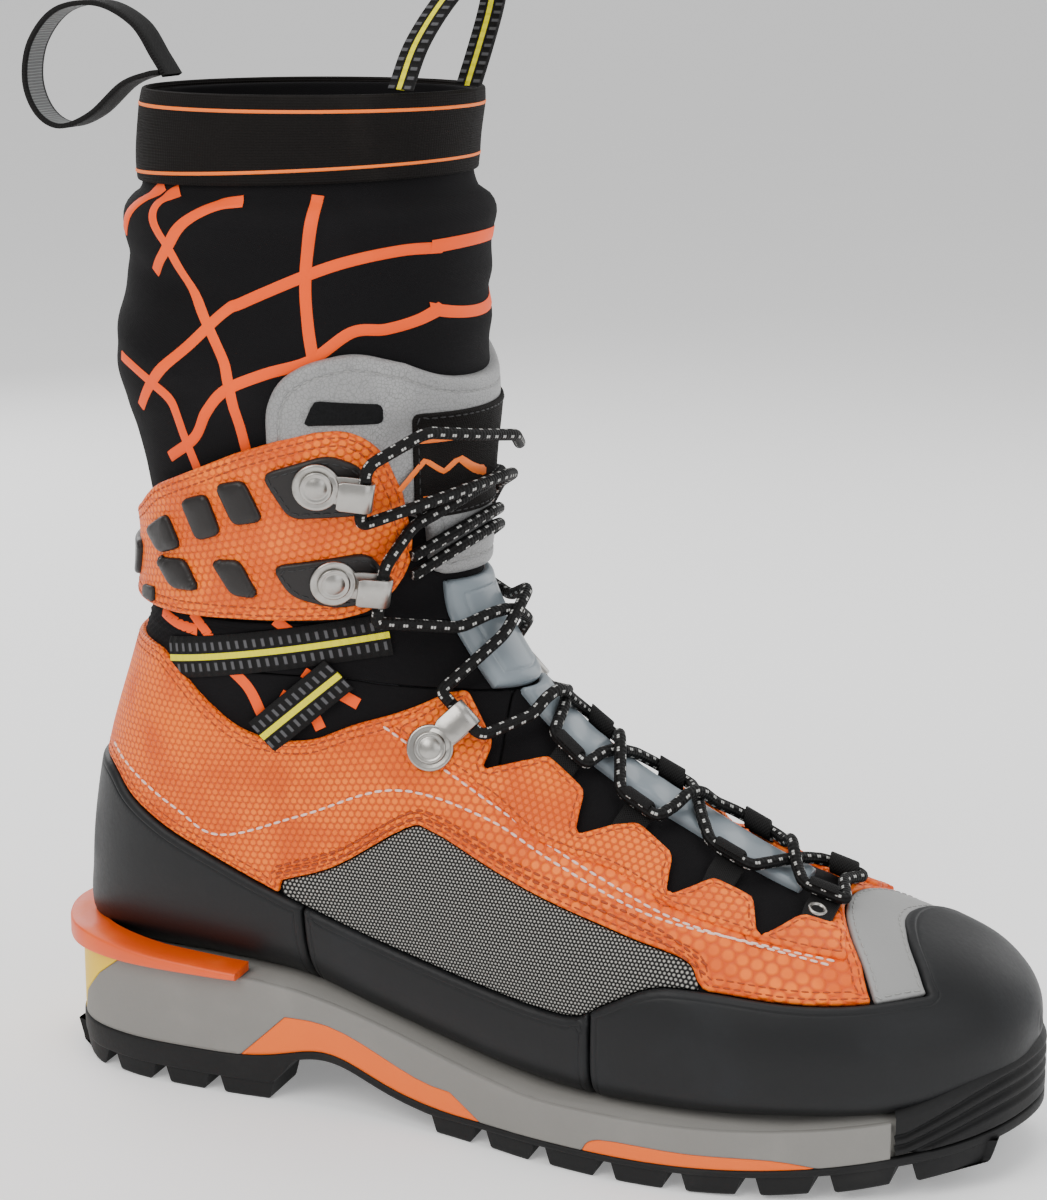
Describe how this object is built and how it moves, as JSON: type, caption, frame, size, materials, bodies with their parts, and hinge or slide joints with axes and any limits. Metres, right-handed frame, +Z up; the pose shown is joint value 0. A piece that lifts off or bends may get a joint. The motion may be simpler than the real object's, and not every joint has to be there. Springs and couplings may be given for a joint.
{
  "type": "mountaineering boot",
  "caption": "High laced mountaineering boot with lugged sole, rubber rand, hinged ankle cuff, stretch inner gaiter, lace hooks and two pull loops.",
  "frame": {"origin": "on the ground under the middle of the heel, on the foot's centre line", "axes": "+X towards the toe, +Y towards the inner side of this right boot, +Z up"},
  "size_m": [0.3169, 0.109, 0.3384],
  "materials": {
    "outsole_rubber": "matte",
    "bumper_rubber": "matte",
    "rand_rubber": "satin",
    "midsole_foam": "matte",
    "orange_foam": "satin",
    "yellow_foam": "satin",
    "orange_rubber": "satin",
    "carbon_board": "matte",
    "fibre_board": "matte",
    "lining_textile": "matte",
    "foam": "matte",
    "thermoplastic_sheet": "matte",
    "stretch_fabric": "matte",
    "dotted_mesh": "matte",
    "orange_microfibre": "matte",
    "grey_strip": "satin",
    "webbing": "matte",
    "grey_plastic": "satin",
    "grey_leather": "satin",
    "woven_label": "matte",
    "hook_and_loop": "matte",
    "black_plastic": "satin",
    "hook_steel": "brushed",
    "lace_cord": "matte",
    "elastic_band": "matte"
  },
  "bodies": {
    "boot": {"outsole": "outsole_rubber", "toe_bumper": "bumper_rubber", "midsole": "midsole_foam", "arch_insert": "orange_foam", "forefoot_insert": "orange_foam", "heel_shock_insert": "yellow_foam", "heel_welt": "orange_rubber", "shank": "carbon_board", "insole_board": "fibre_board", "lining_front": "lining_textile", "lining_rear": "lining_textile", "ankle_foam": "foam", "toe_puff": "thermoplastic_sheet", "heel_counter": "thermoplastic_sheet", "sock_front": "stretch_fabric", "sock_rear": "stretch_fabric", "ankle_gusset": "stretch_fabric", "mesh_panel_outer": "dotted_mesh", "mesh_panel_inner": "dotted_mesh", "quarter_outer": "orange_microfibre", "quarter_inner": "orange_microfibre", "eyestay_outer": "orange_microfibre", "eyestay_inner": "orange_microfibre", "heel_rand": "rand_rubber", "side_rand_outer": "rand_rubber", "side_rand_inner": "rand_rubber", "toe_rand": "rand_rubber", "toe_strip": "grey_strip", "ankle_straps_outer": "webbing", "ankle_straps_inner": "webbing", "lace_loops_outer": "webbing", "lace_loops_inner": "webbing", "tongue_ridge": "grey_plastic", "tongue_flex": "grey_plastic", "ankle_hook_outer": "hook_steel", "ankle_hook_inner": "hook_steel", "ankle_hook_rivets": "hook_steel", "lace_lower": "lace_cord", "lace_ankle": "lace_cord"},
    "cuff": {"gaiter_sleeve": "stretch_fabric", "gaiter_band": "elastic_band", "cuff_padding": "foam", "cuff_panel": "orange_microfibre", "heel_lug": "black_plastic", "cuff_lugs_outer": "black_plastic", "cuff_lugs_inner": "black_plastic", "hook_plates_outer": "black_plastic", "hook_plates_inner": "black_plastic", "tongue_pad": "grey_leather", "tongue_label": "woven_label", "tongue_patches": "hook_and_loop", "cuff_hook_upper_outer": "hook_steel", "cuff_hook_upper_inner": "hook_steel", "cuff_hook_lower_outer": "hook_steel", "cuff_hook_lower_inner": "hook_steel", "cuff_hook_rivets": "hook_steel", "lace_upper": "lace_cord"},
    "rear_loop": {"rear_pull_loop": "webbing"},
    "front_loop": {"front_pull_loop": "webbing"},
    "insole": {"footbed": "foam"}
  },
  "joints": [
    {"name": "ankle_flex", "type": "hinge", "parent": "boot", "child": "cuff", "pos_m": [0.039, 0, 0.118], "axis": [0, 1, 0], "range_deg": [-5, 12], "stiffness_Nm_per_rad": 6, "deforming": ["ankle_gusset", "tongue_flex", "lace_ankle", "ankle_straps_outer", "ankle_straps_inner"]},
    {"name": "rear_loop_swing", "type": "hinge", "parent": "cuff", "child": "rear_loop", "pos_m": [-0.004, 0, 0.306], "axis": [0, 1, 0], "range_deg": [-25, 70], "stiffness_Nm_per_rad": 0.02},
    {"name": "front_loop_swing", "type": "hinge", "parent": "cuff", "child": "front_loop", "pos_m": [0.0879, -0.0157, 0.3049], "axis": [0.37, 0.929, 0], "range_deg": [-20, 20], "stiffness_Nm_per_rad": 0.02},
    {"name": "footbed_lift", "type": "slide", "parent": "boot", "child": "insole", "axis": [0, 0, 1], "range_m": [0, 0.006]}
  ]
}
